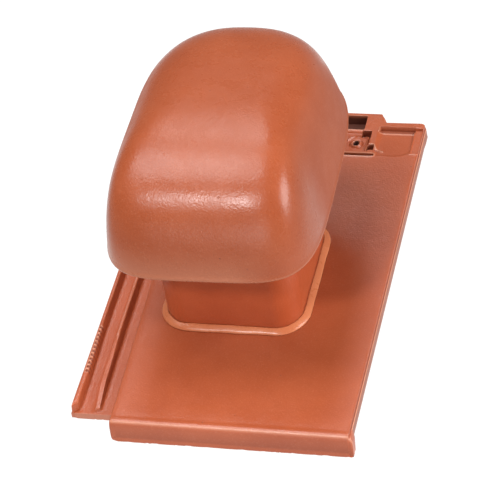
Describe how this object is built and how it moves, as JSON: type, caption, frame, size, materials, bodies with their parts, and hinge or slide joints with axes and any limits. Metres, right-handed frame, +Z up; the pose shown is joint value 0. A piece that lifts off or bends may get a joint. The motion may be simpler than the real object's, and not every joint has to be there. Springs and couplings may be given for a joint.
{
  "type": "roof vent pipe",
  "caption": "Clay roof tile with an upright rounded clay vent pipe, a sealing bead round its foot and a hollow clay hood that lets air out under its rim.",
  "frame": {"origin": "middle of the bounding box's base, on the surface the tile lies on", "axes": "+Z up, square to the tile's face; +Y up the roof slope, along the tile's length; +X across the tile, towards its right-hand lap"},
  "size_m": [0.2998, 0.4896, 0.2693],
  "materials": {
    "roof_tile": "satin copper-red slip on fired clay",
    "vent_pipe": "satin copper-red slip on fired clay",
    "sealing_bead": "glossy light orange slip",
    "hood": "satin copper-red slip with a soft gloss"
  },
  "bodies": {
    "root": {"roof_tile": "roof_tile", "vent_pipe": "vent_pipe", "sealing_bead": "sealing_bead", "hood": "hood"}
  },
  "joints": []
}
